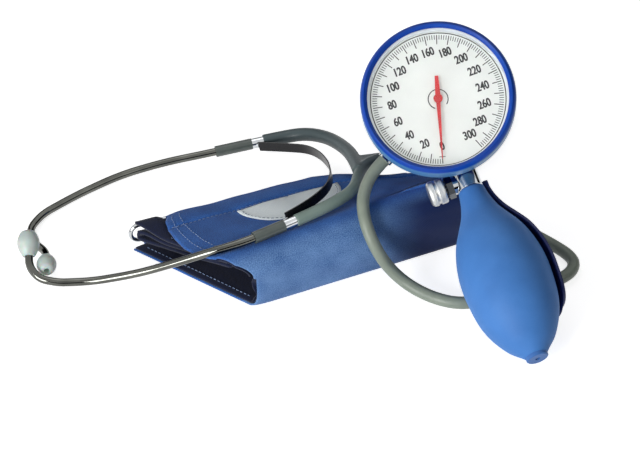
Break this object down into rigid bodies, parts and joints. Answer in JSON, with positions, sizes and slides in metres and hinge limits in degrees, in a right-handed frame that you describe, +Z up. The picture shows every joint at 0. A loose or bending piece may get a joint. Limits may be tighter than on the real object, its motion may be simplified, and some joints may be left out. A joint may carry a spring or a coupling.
{
  "type": "aneroid sphygmomanometer kit with stethoscope",
  "caption": "Palm aneroid blood pressure gauge on a rubber squeeze bulb, with folded arm cuff, air hose and a stethoscope laid over them.",
  "frame": {"origin": "on the table, under the middle of the folded cuff", "axes": "+Z up, -Y the side that the dial faces, +X from the ear tips towards the bulb"},
  "size_m": [0.3146, 0.2972, 0.1231],
  "materials": {
    "case_blue": "gloss blue paint",
    "gasket": "soft grey ring",
    "lens": "clear",
    "dial_ring": "pale ring",
    "dial_face": "matt white",
    "pointer_red": "red",
    "brass": "plain",
    "spring_steel": "plain",
    "capsule_metal": "plain",
    "chrome": "polished",
    "dark_metal": "dark plated",
    "bulb_rubber": "matt blue",
    "spoon_plastic": "dark navy",
    "cuff_cloth": "coated blue weave",
    "cuff_lining": "dark blue weave",
    "bladder_rubber": "black rubber sheet",
    "patch": "hook and loop",
    "label": "pale woven label",
    "ring_metal": "polished",
    "socket_plastic": "dark",
    "hose_rubber": "olive grey, smooth",
    "fork_rubber": "slate grey, smooth",
    "sleeve_metal": "grey green, satin",
    "strap_black": "black",
    "tip": "milky",
    "chest_ring": "dark grey",
    "membrane": "pale"
  },
  "bodies": {
    "kit": {"acoustic_coil": "hose_rubber", "acoustic_lead": "hose_rubber", "acoustic_tube": "hose_rubber", "air_hose": "hose_rubber", "bezel_ring": "case_blue", "check_valve_seat": "dark_metal", "chest_body": "chrome", "chest_membrane": "membrane", "chest_rim": "chest_ring", "chest_stem": "chrome", "crystal_lens": "lens", "cuff_bladder": "bladder_rubber", "cuff_label": "label", "cuff_lining": "cuff_lining", "cuff_outer_cloth": "cuff_cloth", "cuff_tail": "cuff_lining", "dial_plate": "dial_face", "dial_ring": "dial_ring", "diaphragm_capsule": "capsule_metal", "end_valve_body": "chrome", "feed_pipe": "brass", "gauge_case": "case_blue", "hairspring": "spring_steel", "hook_patch": "patch", "hose_barb": "chrome", "hose_socket": "socket_plastic", "inlet_retainer": "dark_metal", "leaf_spring": "strap_black", "lens_gasket": "gasket", "loop_patch": "patch", "movement_back_plate": "brass", "movement_front_plate": "brass", "movement_pillars": "brass", "movement_screws": "spring_steel", "near_bracket_sleeve": "sleeve_metal", "near_collar": "chrome", "near_ear_tip": "tip", "near_ear_tube": "chrome", "palm_spoon": "spoon_plastic", "ring_sleeve": "cuff_cloth", "rubber_bulb": "bulb_rubber", "spoon_screw": "spring_steel", "valve_body": "chrome", "valve_bush": "dark_metal", "y_tube": "fork_rubber"},
    "pointer_set": {"pointer": "pointer_red", "pointer_shaft": "brass"},
    "sector": {"sector_gear": "brass"},
    "rocker": {"rocker": "brass"},
    "pusher": {"capsule_pusher": "brass"},
    "needle": {"valve_needle": "dark_metal"},
    "knob": {"release_knob": "chrome"},
    "outlet": {"outlet_ball": "spring_steel"},
    "inlet": {"inlet_ball": "spring_steel"},
    "ring": {"pull_ring": "ring_metal"},
    "far_half": {"y_far_arm": "fork_rubber", "far_ear_tube": "chrome", "far_bracket_sleeve": "sleeve_metal", "far_collar": "chrome", "far_ear_tip": "tip"}
  },
  "joints": [
    {"name": "pointer_turn", "type": "hinge", "parent": "kit", "child": "pointer_set", "pos_m": [0.0763, 0.0175, 0.09034], "axis": [0.0594, 0.6495, -0.758], "range_deg": [0, 322.5]},
    {"name": "sector_swing", "type": "hinge", "parent": "kit", "child": "sector", "pos_m": [0.06164, 0.01407, 0.08625], "axis": [-0.0594, -0.6495, 0.758], "range_deg": [0, 26.88]},
    {"name": "rocker_swing", "type": "hinge", "parent": "kit", "child": "rocker", "pos_m": [0.06217, 0.01992, 0.07943], "axis": [0.3368, -0.7279, -0.5973], "range_deg": [0, 23.07]},
    {"name": "pusher_lift", "type": "slide", "parent": "kit", "child": "pusher", "axis": [-0.0594, -0.6495, 0.758], "range_m": [0, 0.0016]},
    {"name": "needle_travel", "type": "slide", "parent": "kit", "child": "needle", "axis": [-0.9397, -0.2199, -0.262], "range_m": [0, 0.00105]},
    {"name": "release_turn", "type": "hinge", "parent": "needle", "child": "knob", "pos_m": [0.09275, -0.00858, 0.05322], "axis": [-0.9397, -0.2199, -0.262], "range_deg": [0, 540]},
    {"name": "outlet_lift", "type": "slide", "parent": "kit", "child": "outlet", "axis": [-0.31, 0.8712, 0.3808], "range_m": [0, 0.0012]},
    {"name": "inlet_lift", "type": "slide", "parent": "kit", "child": "inlet", "axis": [-0.31, 0.8712, 0.3808], "range_m": [0, 0.0012]},
    {"name": "ring_swing", "type": "hinge", "parent": "kit", "child": "ring", "pos_m": [-0.09557, -0.00143, 0.0038], "axis": [-0.9382, -0.3461, 0], "range_deg": [-8, 70]},
    {"name": "ear_spread", "type": "hinge", "parent": "kit", "child": "far_half", "pos_m": [0.0336, 0.0206, 0.0372], "axis": [0, 0, -1], "range_deg": [0, 12], "stiffness_Nm_per_rad": 0.12}
  ],
  "couplings": [
    {"joint": "sector_swing", "follows": "pusher_lift", "rad_per_m": 293.16},
    {"joint": "rocker_swing", "follows": "pusher_lift", "rad_per_m": 251.7},
    {"joint": "pointer_turn", "follows": "pusher_lift", "rad_per_m": 3517.9},
    {"joint": "needle_travel", "follows": "release_turn", "m_per_rad": 0.00011141}
  ]
}
